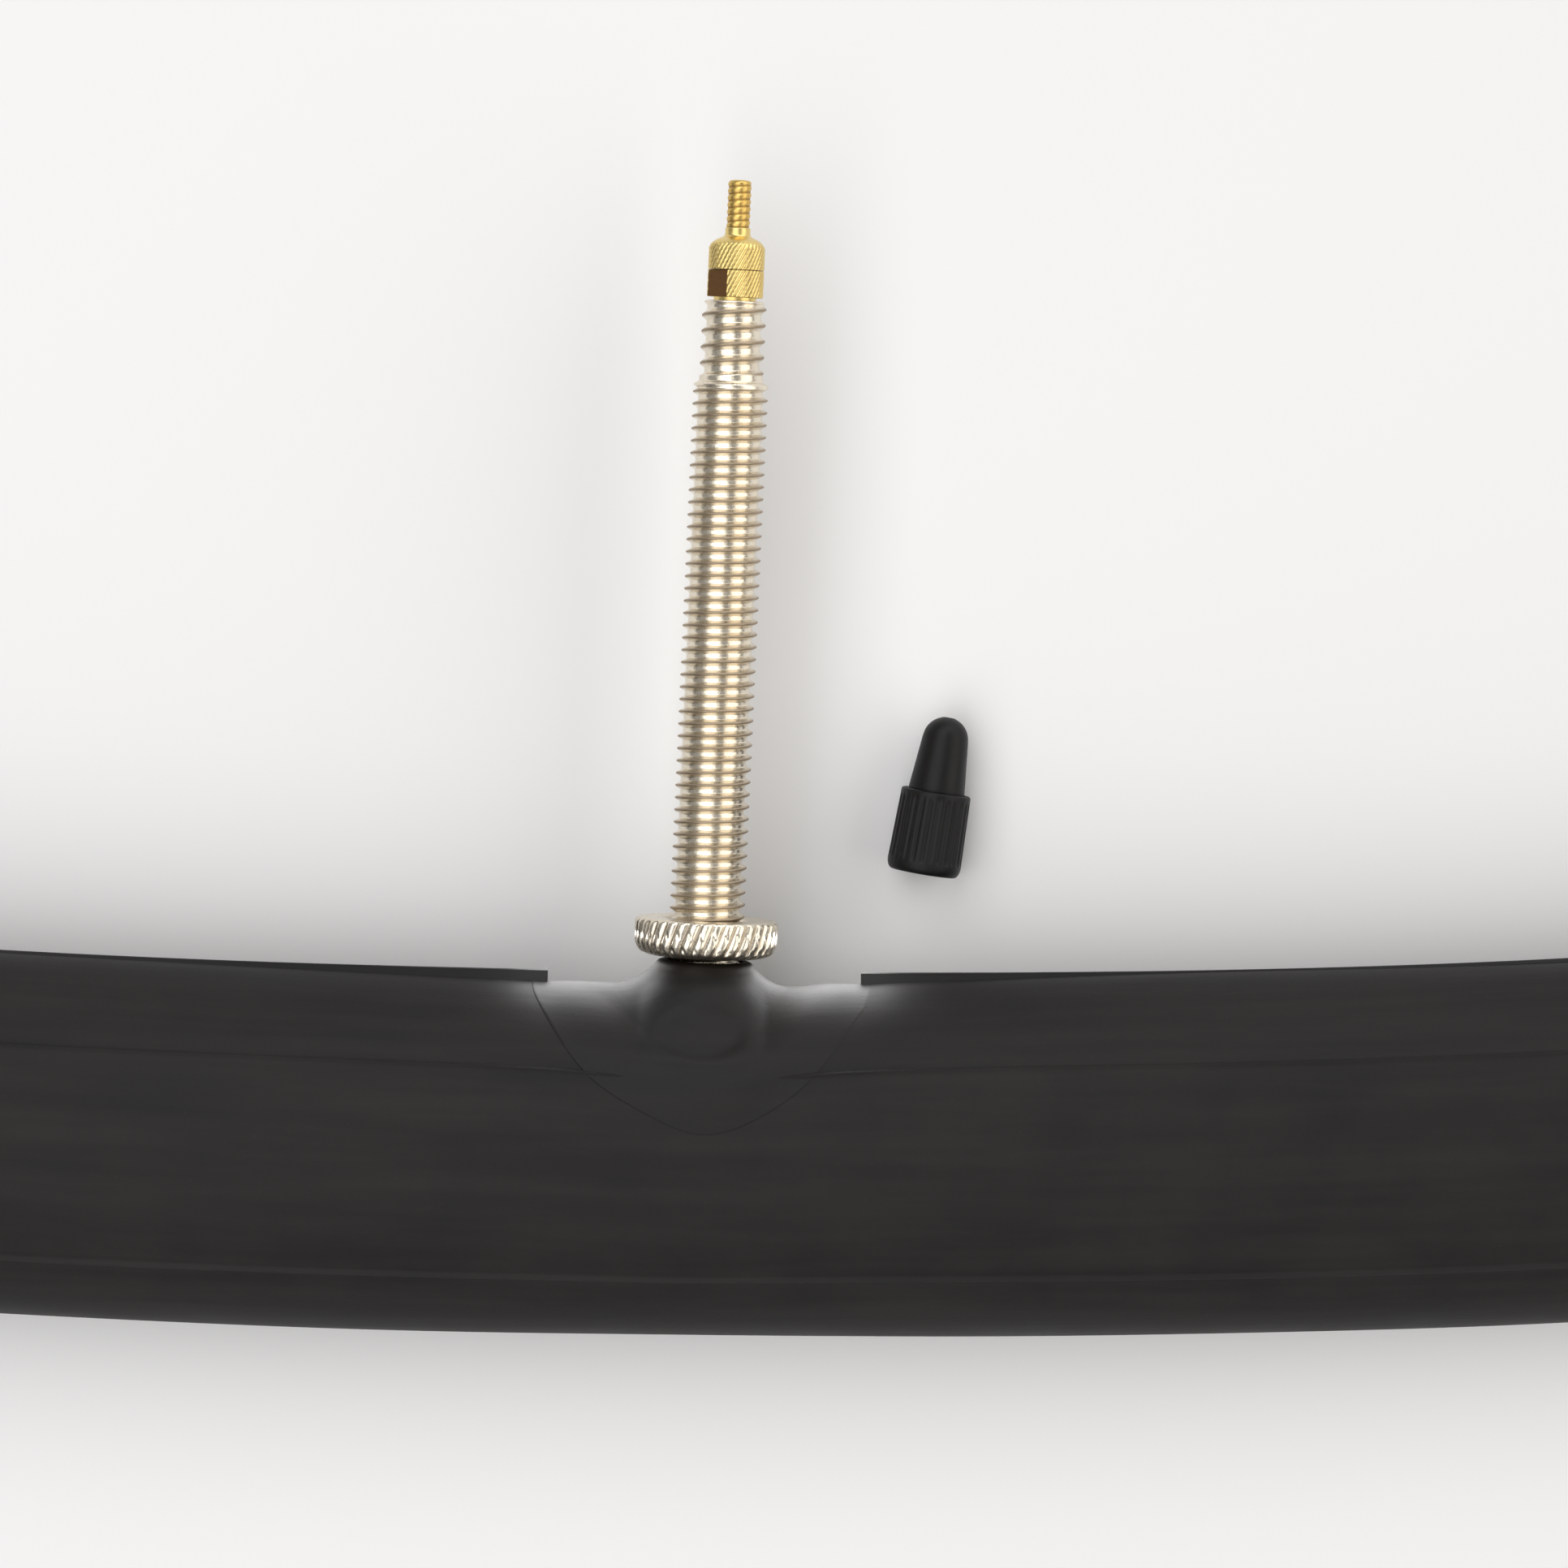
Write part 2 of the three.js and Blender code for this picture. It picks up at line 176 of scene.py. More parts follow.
def knurled(angle, radius, height, low, high, teeth, pitch, depth, fade=0.25):
    """Cuts slanting strokes, with fainter ones across them, into a cylinder between two heights."""
    along = teeth * angle / TAU
    stroke = 1 - np.abs(2 * ((along - height / pitch) % 1) - 1)
    crossing = 1 - np.abs(2 * ((along + height / pitch) % 1) - 1)
    relief = np.minimum(stroke, 1 - KNURL_CROSSING * (1 - crossing))
    relief = np.clip(KNURL_GAIN * relief, 0, 1)
    ends = smooth((height - low) / fade) * smooth((high - height) / fade)
    return radius - depth * (1 - relief) * ends, 1 - (1 - relief) * ends


# ---- Materials ----

class Finish:
    """A material under construction: adds nodes and links them in a few words."""

    def __init__(self, name, **sockets):
        self.material = bpy.data.materials.new(name)
        self.material.use_nodes = True
        self.tree = self.material.node_tree
        self.shader = self.tree.nodes["Principled BSDF"]
        self.set(self.shader, **sockets)

    def set(self, node, **sockets):
        for key, value in sockets.items():
            socket = node.inputs[key.replace("_", " ")]
            if hasattr(value, "is_output"):
                self.tree.links.new(value, socket)
            else:
                socket.default_value = value

    def add(self, kind, properties=None, **sockets):
        node = self.tree.nodes.new("ShaderNode" + kind)
        for key, value in (properties or {}).items():
            setattr(node, key, value)
        self.set(node, **sockets)
        return node

    def place(self):
        return self.add("TexCoord").outputs["Object"]

    def stretched(self, vector, scale):
        return self.add("Mapping", Vector=vector, Scale=scale).outputs["Vector"]

    def noise(self, vector, scale, detail, roughness=0.55):
        node = self.add("TexNoise", Vector=vector, Scale=scale, Detail=detail, Roughness=roughness)
        return node.outputs["Fac"]

    def attribute(self, name):
        return self.add("Attribute", {"attribute_name": name}).outputs["Fac"]

    def remap(self, value, low, high, new_low=0.0, new_high=1.0):
        node = self.add("MapRange", {"clamp": True})
        self.tree.links.new(value, node.inputs["Value"])
        limits = {"From Min": low, "From Max": high, "To Min": new_low, "To Max": new_high}
        for key, number in limits.items():
            node.inputs[key].default_value = number
        return node.outputs["Result"]

    def sum(self, one, two):
        node = self.add("Math", {"operation": "ADD"})
        for socket, value in zip(node.inputs, (one, two)):
            if hasattr(value, "is_output"):
                self.tree.links.new(value, socket)
            else:
                socket.default_value = value
        return node.outputs["Value"]

    def mix(self, amount, one, two):
        node = self.add("Mix", {"data_type": "RGBA"})
        self.tree.links.new(amount, node.inputs["Factor"])
        for socket, value in ((node.inputs["A"], one), (node.inputs["B"], two)):
            if hasattr(value, "is_output"):
                self.tree.links.new(value, socket)
            else:
                socket.default_value = (*value, 1)
        return node.outputs["Result"]

    def bump(self, height, distance, strength, normal=None):
        node = self.add("Bump", Height=height, Distance=distance, Strength=strength)
        if normal is not None:
            self.tree.links.new(normal, node.inputs["Normal"])
        return node.outputs["Normal"]

    def done(self, **sockets):
        self.set(self.shader, **sockets)
        return self.material


# ---- The tube's skin, in millimetres ----

DENT_WIDE, DENT_WIDE_REACH = 0.9, 26
DENT_NEAR, DENT_NEAR_REACH = 1.5, 8.5
DENT_SPREAD = 1.3


def ring_radius(turn):
    shares = (RING_OVAL * np.cos(2 * turn) + RING_FLAT_SIDE * np.cos(3 * turn)
              + RING_SQUARE * np.cos(4 * turn))
    return RING_RADIUS * (1 - shares)


def ring_slope(turn):
    shares = (2 * RING_OVAL * np.sin(2 * turn) + 3 * RING_FLAT_SIDE * np.sin(3 * turn)
              + 4 * RING_SQUARE * np.sin(4 * turn))
    return RING_RADIUS * shares


def dent(distance):
    """How far the inner edge is drawn in, that far along the tube from the valve."""
    return (DENT_WIDE * np.exp(-(distance / DENT_WIDE_REACH) ** 2)
            + DENT_NEAR * np.exp(-(distance / DENT_NEAR_REACH) ** 2))


def skin(distance, around, proud=0.0):
    """Points proud of the skin: distance along the tube from the valve, around from the inner edge."""
    distance, around, proud = np.broadcast_arrays(distance, around, proud)
    turn = distance / VALVE_RING_RADIUS
    radius, slope = ring_radius(turn), ring_slope(turn)
    along_x = slope * np.sin(turn) + radius * np.cos(turn)
    along_y = radius * np.sin(turn) - slope * np.cos(turn)
    length = np.hypot(along_x, along_y)
    out_y, out_z = np.cos(around) / TUBE_WIDTH, np.sin(around) / TUBE_HEIGHT
    out = proud / np.hypot(out_y, out_z)
    across = TUBE_WIDTH / 2 * np.cos(around) + out * out_y
    across = across - dent(distance) * np.exp(-(around / DENT_SPREAD) ** 2)
    lift = VALVE_LIFT * np.exp(-(distance / LIFT_REACH) ** 2)
    x = radius * np.sin(turn) - along_y / length * across
    y = -radius * np.cos(turn) + along_x / length * across + RING_SHIFT
    z = REST_DEPTH + lift + np.maximum(TUBE_HEIGHT / 2 * np.sin(around), -REST_DEPTH) + out * out_z
    return np.stack([x, y, z], axis=-1)


# ---- Tube ----

HALF_WAY = math.pi * VALVE_RING_RADIUS
NEAR_REACH, NEAR_STEP = 78, 0.7
FAR_STEP = 3.5
SPLICE_REACH, SPLICE_STEP = 14, 0.6
TUBE_ROWS = 128
RIBS = (math.radians(57), math.radians(128.4))
RIB_HALF_WIDTH, RIB_HEIGHT = 0.16, 0.21
RIB_STEPS = (-2, -1, -0.5, 0, 0.5, 1, 2)
SECTION_ARC = 13.2
WAVES = ((0.05, 17, 1.3, 0), (0.05, 29, -2, 1), (0.03, 7.3, 3, 2))
SPLICE_WIDTH, SPLICE_HEIGHT, SPLICE_EDGE = 5, 0.25, 0.8
UNDERSIDE, UNDERSIDE_FADE = -0.9, 0.3
FIN_START = 12.6
FIN_PROUD = 0.15
FIN_PROFILE = ((-0.8, -0.3), (-0.42, 0.55), (-0.3, 0.93), (0, 1), (0.3, 0.93), (0.42, 0.55), (0.8, -0.3))


def tube_distances():
    near = np.arange(0, NEAR_REACH, NEAR_STEP)
    far = np.arange(NEAR_REACH, HALF_WAY - SPLICE_REACH, FAR_STEP)
    splice = np.arange(HALF_WAY - SPLICE_REACH, HALF_WAY - SPLICE_STEP / 2, SPLICE_STEP)
    half = np.concatenate([near, far, splice])
    return np.concatenate([-half[:0:-1], half])


def tube_rounds():
    even = np.linspace(-math.pi, math.pi, TUBE_ROWS, endpoint=False)
    steps = np.array(RIB_STEPS) * RIB_HALF_WIDTH / SECTION_ARC
    extra = [sign * rib + steps for rib in RIBS for sign in (-1, 1)]
    return np.unique(np.concatenate([even, *extra]))


def rib_relief(distance, around):
    """The thin mould lines that run all round the ring, two on each face."""
    relief = np.zeros(np.broadcast(distance, around).shape)
    for rib in RIBS:
        off = (np.abs(around) - rib) * SECTION_ARC / RIB_HALF_WIDTH
        relief = relief + RIB_HEIGHT * np.exp(-off ** 2)
    return relief


def wave_relief(distance, around):
    """The slack of soft rubber: long shallow waves, each with a height, length, twist and start."""
    return sum(height * np.sin(distance / length + twist * around + start)
               for height, length, twist, start in WAVES)


def make_tube():
    distance = tube_distances()[:, None]
    around = tube_rounds()[None, :]
    from_splice = HALF_WAY - np.abs(distance)
    splice = SPLICE_HEIGHT * smooth((SPLICE_WIDTH - from_splice) / SPLICE_EDGE)
    free = smooth((np.sin(around) - UNDERSIDE) / UNDERSIDE_FADE)
    proud = rib_relief(distance, around) + (wave_relief(distance, around) + splice) * free
    points = skin(distance, around, proud)
    shape = points.shape[:2]
    attributes = {
        "along": np.broadcast_to(distance, shape) * MM,
        "around": np.broadcast_to(around * SECTION_ARC, shape) * MM,
    }
    return make_piece("tube_skin", points * MM, grid_faces(*shape, True, True), attributes)


def make_fin():
    """The seam's fin along the inner edge. Its top keeps its line where the tube is drawn in."""
    distance = tube_distances()
    after, before = distance[distance > FIN_START], distance[distance < -FIN_START]
    distance = np.concatenate([[FIN_START], after, before + 2 * HALF_WAY, [2 * HALF_WAY - FIN_START]])
    signed = (distance + HALF_WAY) % (2 * HALF_WAY) - HALF_WAY
    height = FIN_PROUD + dent(signed)
    sides, shares = np.array(FIN_PROFILE).T
    around = sides / (TUBE_HEIGHT / 2)
    points = skin(signed[:, None], around[None, :], height[:, None] * shares[None, :])
    ends = [np.broadcast_to(points[k].mean(axis=0), points[k].shape)[None] for k in (0, -1)]
    points = np.concatenate([ends[0], points, ends[1]])
    shape = points.shape[:2]
    signed = np.concatenate([signed[:1], signed, signed[-1:]])
    attributes = {
        "along": np.broadcast_to(signed[:, None], shape) * MM,
        "around": np.broadcast_to(around[None, :] * SECTION_ARC, shape) * MM,
    }
    return make_piece("seam_fin", points * MM, grid_faces(*shape, False, True), attributes, sharp=50)


# ---- Valve base: an oval patch with a round boss ----

PATCH_HALF_LENGTH = 13.8
PATCH_WRAP = math.radians(75)
PATCH_SIDES = 160
PATCH_CORE = 8.5
PATCH_THICK, PATCH_THIN = 0.42, 0.045
THIN_START, THIN_REACH = 0.1, 0.88
EDGE_WAVES = ((0.012, 5, 1), (0.008, 9, 0))
EDGE_SHARE = 1.006
EDGE_PROUD = 0.6 * PATCH_THIN
UNDER_PROUD = 0.01
PAD_MIDDLE, PAD_HALF_WIDTH, PAD_HALF_HEIGHT, PAD_HEIGHT = -3.5, 4.9, 3.3, 0.3
DISH_MIDDLE, DISH_HALF_WIDTH, DISH_HALF_HEIGHT, DISH_DEPTH = -4.2, 3.4, 2.0, 0.16
RELIEF_EDGE, PAD_SOFTNESS, DISH_SOFTNESS = 1.3, 1.1, 0.7
BASE_HOLE = 3.06
CORE_RINGS, OUTER_RINGS = 44, 29
UNDER_REACHES, UNDER_SHARES = (7, 5, BASE_HOLE), (0.9, 0.6, 0.3, 0)
BOSS_FRONT = ((0, 1.05), (3.55, 1.05), (3.82, 0.9), (4.0, 0.35), (4.5, -0.45), (5.1, -1.4), (5.8, -2.6),
              (6.6, -4.2), (7.5, -6.5), (8.6, -12), (30, -60))
BOSS_SIDE = ((0, 1.05), (3.55, 1.05), (3.82, 0.9), (4.1, 0.5), (4.6, 0.08), (5.2, -0.4), (5.9, -0.9),
             (6.7, -1.32), (7.6, -1.6), (8.8, -1.9), (10.5, -2.5), (30, -20))
BOSS_BLEND = 1.5
# The painted shadow under the rim nut: none on the boss below this height, full this much above it.
NUT_SHADOW_FOOT, NUT_SHADOW_FADE = -0.2, 0.45


def soft_max(one, two, blend):
    near = np.clip(1 - np.abs(one - two) / blend, 0, 1)
    return np.maximum(one, two) + near * near * blend / 4


def to_world(local):
    return local @ np.array(VALVE.to_3x3()).T * MM + np.array(VALVE_FOOT)


def to_valve(millimetres):
    return (millimetres - np.array(VALVE_FOOT) / MM) @ np.array(VALVE.to_3x3())


def pad_relief(x, y):
    """A low squarish pad on the face below the valve, with a shallow oval dish in it."""
    pad = np.abs(x / PAD_HALF_WIDTH) ** 4 + np.abs((y - PAD_MIDDLE) / PAD_HALF_HEIGHT) ** 4
    dish = (x / DISH_HALF_WIDTH) ** 2 + ((y - DISH_MIDDLE) / DISH_HALF_HEIGHT) ** 2
    raised = PAD_HEIGHT * smooth((RELIEF_EDGE - pad) / PAD_SOFTNESS)
    return raised - DISH_DEPTH * smooth((RELIEF_EDGE - dish) / DISH_SOFTNESS)


def patch_ring(angle, reach, share, proud):
    """One ring of the base: reach is its radius within the core, share its place beyond it."""
    half_height = TUBE_HEIGHT / 2
    distance = reach * np.cos(angle)
    around = np.arcsin(reach * np.sin(angle) / half_height)
    uneven = 1 + sum(size * np.sin(count * angle + start) for size, count, start in EDGE_WAVES)
    distance = distance + share * (PATCH_HALF_LENGTH * uneven - PATCH_CORE) * np.cos(angle)
    around = around + share * (PATCH_WRAP * uneven * np.sin(angle) - around)
    return skin(distance, around, proud), distance, around


def with_boss(ring, angle):
    """One ring of the base's top with the boss and the pad raised out of it, and its share of the painted
    shadow under the rim nut.
    """
    local = to_valve(ring)
    radius = np.hypot(local[:, 0], local[:, 2])
    front, side = (np.interp(radius, *zip(*profile)) for profile in (BOSS_FRONT, BOSS_SIDE))
    boss = front + (side - front) * np.cos(angle) ** 2
    local[:, 1] = soft_max(local[:, 1], boss, BOSS_BLEND)
    local[:, 2] += pad_relief(local[:, 0], local[:, 1]) * (np.sin(angle) > 0)
    return to_world(local) / MM, smooth((local[:, 1] - NUT_SHADOW_FOOT) / NUT_SHADOW_FADE)


def base_rows():
    """Each ring's reach, share beyond the core and height off the skin, and whether it is on top."""
    rows = [(reach, 0, PATCH_THICK, True) for reach in np.linspace(BASE_HOLE, PATCH_CORE, CORE_RINGS)]
    for share in np.linspace(0, 1, OUTER_RINGS + 1)[1:]:
        thinned = smooth((share - THIN_START) / THIN_REACH)
        rows.append((PATCH_CORE, share, PATCH_THICK + (PATCH_THIN - PATCH_THICK) * thinned, True))
    rows += [(PATCH_CORE, EDGE_SHARE, proud, False) for proud in (EDGE_PROUD, 0)]
    rows += [(PATCH_CORE, share, UNDER_PROUD, False) for share in UNDER_SHARES]
    return rows + [(reach, 0, UNDER_PROUD, False) for reach in UNDER_REACHES]


def make_base():
    angle = np.arange(PATCH_SIDES) * TAU / PATCH_SIDES
    rings, alongs, arounds, nut_shadows = [], [], [], []
    for reach, share, proud, top in base_rows():
        ring, distance, around = patch_ring(angle, reach, share, proud)
        # No painted shadow under the rim nut on the base's underside rings.
        nut_shadow = np.zeros_like(angle)
        if top:
            ring, nut_shadow = with_boss(ring, angle)
        rings.append(ring)
        alongs.append(distance)
        arounds.append(around * SECTION_ARC)
        nut_shadows.append(nut_shadow)
    points = np.stack(rings)
    attributes = {
        "along": np.stack(alongs) * MM,
        "around": np.stack(arounds) * MM,
        "nut_shadow": np.stack(nut_shadows),
    }
    return make_piece("valve_base", points * MM, grid_faces(*points.shape[:2], True, True), attributes)


# ---- Valve: outlines are points of radius and height, in millimetres ----

STEM_RADIUS, STEM_TOP_RADIUS = 3.0, 2.55
STEM_FOOT_RADIUS, STEM_BOTTOM, STEM_FOOT_TOP = 4.6, -1.9, -1.2
BORE_RADIUS, CORE_BORE_RADIUS, CORE_BORE_FLOOR = 1.25, 2.0, 34.5
LOWER_THREAD_START, LOWER_THREAD_END = 0.2, 46.9
SHOULDER_END, UPPER_THREAD_START, STEM_END = 47.2, 47.5, 53.6
LOWER_PITCH, LOWER_DEPTH = 0.98, 0.42
UPPER_PITCH, UPPER_DEPTH = 1.27, 0.38
STEM_CREST_SHARE, STEM_ROOT_SHARE = 0.09, 0.36
NUT_LOW, NUT_HIGH, NUT_RADIUS, NUT_BORE = 1.4, 4.4, 5.7, 3.12
NUT_TEETH, NUT_KNURL_PITCH, NUT_KNURL_DEPTH, NUT_KNURL_FADE = 36, 2.6, 0.2, 0.3
NUT_KNURL_FROM, NUT_KNURL_BLEND = 4.4, 0.6
CORE_BOTTOM, CORE_BORE, CORE_MOUTH = 41, 0.95, 1.25
CORE_LOW_RADIUS, CORE_GROOVE_RADIUS = 1.6, 1.3
CORE_THREAD_RADIUS, CORE_THREAD_LOW, CORE_THREAD_HIGH = 1.9, 47.3, 53
CORE_PITCH, CORE_DEPTH = 0.7, 0.16
GASKET_BOTTOM, GASKET_TOP, GASKET_RADIUS, GASKET_BORE = 45.7, 46.9, 1.85, 1.45
PIN_RADIUS, PIN_SHAFT_RADIUS = 0.94, 0.65
PIN_BOTTOM, PIN_THREAD_LOW, PIN_TIP = 38.7, 56.2, 63.2
PIN_PITCH, PIN_DEPTH = 0.55, 0.09
SEAL_BOTTOM, SEAL_TOP, SEAL_RADIUS = 39.4, 40.8, 1.6
FOOT_BOTTOM, FOOT_TOP, FOOT_RADIUS = 38, 39.2, 1.5
RING_BORE = 0.85
HEAD_RADIUS, HEAD_BOTTOM, HEAD_NECK_RADIUS = 2.23, 53.9, 1.7
HEAD_HALF_FLATS = 3.75 / 2
FLATS_ANGLE = math.radians(-50)
SEAM_HEIGHT, LOCK_NUT_GAP = 56.02, 0.04
LOCK_NUT_SHOULDER, LOCK_NUT_TOP = 58.0, 59.4
LOCK_NUT_COLLAR, LOCK_NUT_BORE, LOCK_NUT_MOUTH = 1.0, 0.95, 1.3
KNURL_TEETH, KNURL_PITCH, KNURL_DEPTH = 36, 0.7, 0.08
KNURL_FROM, KNURL_TO, KNURL_FADE = 53, 58, 0.5
STEM_SIDES, NUT_SIDES, HEAD_SIDES, SMALL_SIDES = 96, 360, 216, 64


def stem_shape(angle, radius, height):
    """The stem's two threads, with painted shade on their crests for the shaded flank below each crest. Its
    bore and its foot stay plain.
    """
    outside = radius > STEM_TOP_RADIUS - 0.2
    shares = {"flat": STEM_CREST_SHARE, "root": STEM_ROOT_SHARE, "dark_crests": True}
    lower_ends, upper_ends = (LOWER_THREAD_START, LOWER_THREAD_END), (UPPER_THREAD_START, STEM_END)
    lower = threaded(angle, radius, height, *lower_ends, LOWER_PITCH, LOWER_DEPTH, **shares)
    upper = threaded(angle, radius, height, *upper_ends, UPPER_PITCH, UPPER_DEPTH, **shares)
    on_lower = outside & (height < LOWER_THREAD_END) & (height > 0)
    on_upper = outside & (height > SHOULDER_END)
    crest = np.where(on_lower, lower[1], np.where(on_upper, upper[1], 1.0))
    return np.where(on_lower, lower[0], np.where(on_upper, upper[0], radius)), crest


def make_stem():
    outline = eased([
        (BORE_RADIUS + 0.05, STEM_BOTTOM), (STEM_FOOT_RADIUS, STEM_BOTTOM),
        (STEM_FOOT_RADIUS, STEM_FOOT_TOP), (STEM_RADIUS, STEM_FOOT_TOP), (STEM_RADIUS, 0),
        (STEM_RADIUS, LOWER_THREAD_END),
        (STEM_RADIUS - 0.2, LOWER_THREAD_END + 0.2), (STEM_TOP_RADIUS, SHOULDER_END),
        (STEM_TOP_RADIUS, STEM_END - 0.25), (STEM_TOP_RADIUS - 0.2, STEM_END),
        (CORE_BORE_RADIUS + 0.05, STEM_END), (CORE_BORE_RADIUS, STEM_END - 0.1),
        (CORE_BORE_RADIUS, CORE_BORE_FLOOR), (BORE_RADIUS, CORE_BORE_FLOOR - 0.7),
        (BORE_RADIUS, STEM_BOTTOM), (BORE_RADIUS + 0.05, STEM_BOTTOM),
    ], radius=0.12, steps=2)
    outline = refined(outline, 0, STEM_END, step=0.07)
    return turned("valve_stem_threaded", outline, STEM_SIDES, shape=stem_shape, sharp=60)


def nut_shape(angle, radius, height):
    """The knurl on the rim nut's outer edge."""
    knurl = (NUT_TEETH, NUT_KNURL_PITCH, NUT_KNURL_DEPTH, NUT_KNURL_FADE)
    cut, crest = knurled(angle, radius, height, NUT_LOW - 0.2, NUT_HIGH, *knurl)
    rim = smooth((radius - NUT_KNURL_FROM) / NUT_KNURL_BLEND)
    return radius + (cut - radius) * rim, 1 - (1 - crest) * rim


def make_rim_nut():
    outline = eased([
        (NUT_BORE + 0.38, NUT_LOW), (NUT_RADIUS - 1.15, NUT_LOW), (NUT_RADIUS - 0.35, NUT_LOW + 0.3),
        (NUT_RADIUS, NUT_LOW + 1.05), (NUT_RADIUS, NUT_HIGH - 0.22), (NUT_RADIUS - 0.25, NUT_HIGH),
        (NUT_BORE + 0.38, NUT_HIGH), (NUT_BORE, NUT_HIGH - 0.3), (NUT_BORE, NUT_LOW + 0.3),
        (NUT_BORE + 0.38, NUT_LOW),
    ], radius=0.25)
    outline = refined(outline, NUT_LOW, NUT_HIGH, step=0.09)
    return turned("rim_nut_knurled", outline, NUT_SIDES, shape=nut_shape, sharp=55)


def core_shape(angle, radius, height):
    """The core's thread, and its knurled head with two flats for a core key."""
    knurl = (KNURL_TEETH, KNURL_PITCH, KNURL_DEPTH)
    cut, crest = knurled(angle, radius, height, KNURL_FROM, KNURL_TO, *knurl)
    outside = radius > HEAD_NECK_RADIUS + 0.1
    on_head = (height > HEAD_BOTTOM - 0.01) & outside
    facing = np.abs(np.cos(angle - FLATS_ANGLE))
    flat = HEAD_HALF_FLATS / np.maximum(facing, 0.1)
    on_flat = on_head & (flat < radius)
    ends = (CORE_THREAD_LOW, CORE_THREAD_HIGH)
    thread, root = threaded(angle, radius, height, *ends, CORE_PITCH, CORE_DEPTH)
    on_thread = (height > CORE_THREAD_LOW) & (height < CORE_THREAD_HIGH) & outside
    radius = np.where(on_head, np.minimum(cut, flat), np.where(on_thread, thread, radius))
    # The two flats get the dark colour: painted shade, a painted dark reflection on the milled faces.
    return radius, np.where(on_flat, 0.0, np.where(on_head, crest, np.where(on_thread, root, 1.0)))


def make_core():
    outline = eased([
        (CORE_BORE + 0.03, CORE_BOTTOM + 0.1), (CORE_BORE + 0.15, CORE_BOTTOM),
        (CORE_LOW_RADIUS - 0.05, CORE_BOTTOM), (CORE_LOW_RADIUS, CORE_BOTTOM + 0.1),
        (CORE_LOW_RADIUS, GASKET_BOTTOM - 0.2), (CORE_GROOVE_RADIUS, GASKET_BOTTOM - 0.2),
        (CORE_GROOVE_RADIUS, GASKET_TOP + 0.2), (CORE_THREAD_RADIUS - 0.15, GASKET_TOP + 0.2),
        (CORE_THREAD_RADIUS, CORE_THREAD_LOW), (CORE_THREAD_RADIUS, CORE_THREAD_HIGH + 0.1),
        (HEAD_NECK_RADIUS, CORE_THREAD_HIGH + 0.3), (HEAD_NECK_RADIUS, HEAD_BOTTOM),
        (HEAD_RADIUS, HEAD_BOTTOM), (HEAD_RADIUS, SEAM_HEIGHT), (CORE_MOUTH + 0.05, SEAM_HEIGHT),
        (CORE_MOUTH, SEAM_HEIGHT - 0.1), (CORE_MOUTH, CORE_THREAD_HIGH + 0.5),
        (CORE_BORE, CORE_THREAD_HIGH + 0.4), (CORE_BORE, CORE_BOTTOM + 0.2),
        (CORE_BORE + 0.03, CORE_BOTTOM + 0.1),
    ], radius=0.05, steps=2)
    outline = refined(outline, CORE_THREAD_LOW, SEAM_HEIGHT, step=0.05)
    return turned("core_body_knurled", outline, HEAD_SIDES, shape=core_shape, sharp=40)


def make_gasket():
    low_edge, high_edge = GASKET_BOTTOM + 0.3, GASKET_TOP - 0.3
    outline = eased([
        (GASKET_BORE, low_edge), (GASKET_BORE + 0.15, GASKET_BOTTOM), (GASKET_RADIUS, GASKET_BOTTOM + 0.05),
        (GASKET_RADIUS, GASKET_TOP - 0.05), (GASKET_BORE + 0.15, GASKET_TOP), (GASKET_BORE, high_edge),
        (GASKET_BORE, low_edge),
    ], radius=0.1)
    return turned("core_gasket_ring", outline, SMALL_SIDES)


def pin_shape(angle, radius, height):
    """The pin's thread, on its outer end."""
    ends = (PIN_THREAD_LOW, PIN_TIP - 0.1)
    cut, crest = threaded(angle, radius, height, *ends, PIN_PITCH, PIN_DEPTH)
    wide = radius > PIN_SHAFT_RADIUS + 0.05
    return np.where(wide, cut, radius), np.where(wide, crest, 1.0)


def make_pin():
    outline = eased([
        (0, PIN_BOTTOM), (PIN_SHAFT_RADIUS, PIN_BOTTOM), (PIN_SHAFT_RADIUS, PIN_THREAD_LOW - 0.1),
        (PIN_RADIUS, PIN_THREAD_LOW + 0.1), (PIN_RADIUS, PIN_TIP - 0.25),
        (PIN_RADIUS - 0.16, PIN_TIP - 0.05), (0.35, PIN_TIP), (0, PIN_TIP),
    ], radius=0.12)
    outline = refined(outline, PIN_THREAD_LOW, PIN_TIP, step=0.055)
    return turned("valve_pin_threaded", outline, SMALL_SIDES, shape=pin_shape, sharp=60)


def make_seal():
    outline = eased([
        (RING_BORE, SEAL_BOTTOM), (SEAL_RADIUS - 0.1, SEAL_BOTTOM), (SEAL_RADIUS, SEAL_BOTTOM + 0.2),
        (SEAL_RADIUS, SEAL_TOP - 0.3), (SEAL_RADIUS - 0.4, SEAL_TOP), (RING_BORE, SEAL_TOP),
        (RING_BORE, SEAL_BOTTOM),
    ], radius=0.12)
    return turned("pin_seal_ring", outline, SMALL_SIDES)


def make_foot():
    outline = eased([
        (0, FOOT_BOTTOM), (FOOT_RADIUS - 0.3, FOOT_BOTTOM), (FOOT_RADIUS, FOOT_BOTTOM + 0.2),
        (FOOT_RADIUS, FOOT_TOP - 0.2), (FOOT_RADIUS - 0.1, FOOT_TOP), (RING_BORE, FOOT_TOP),
        (RING_BORE, FOOT_BOTTOM + 0.5), (0, FOOT_BOTTOM + 0.5),
    ], radius=0.08)
    return turned("pin_foot_cap", outline, SMALL_SIDES)


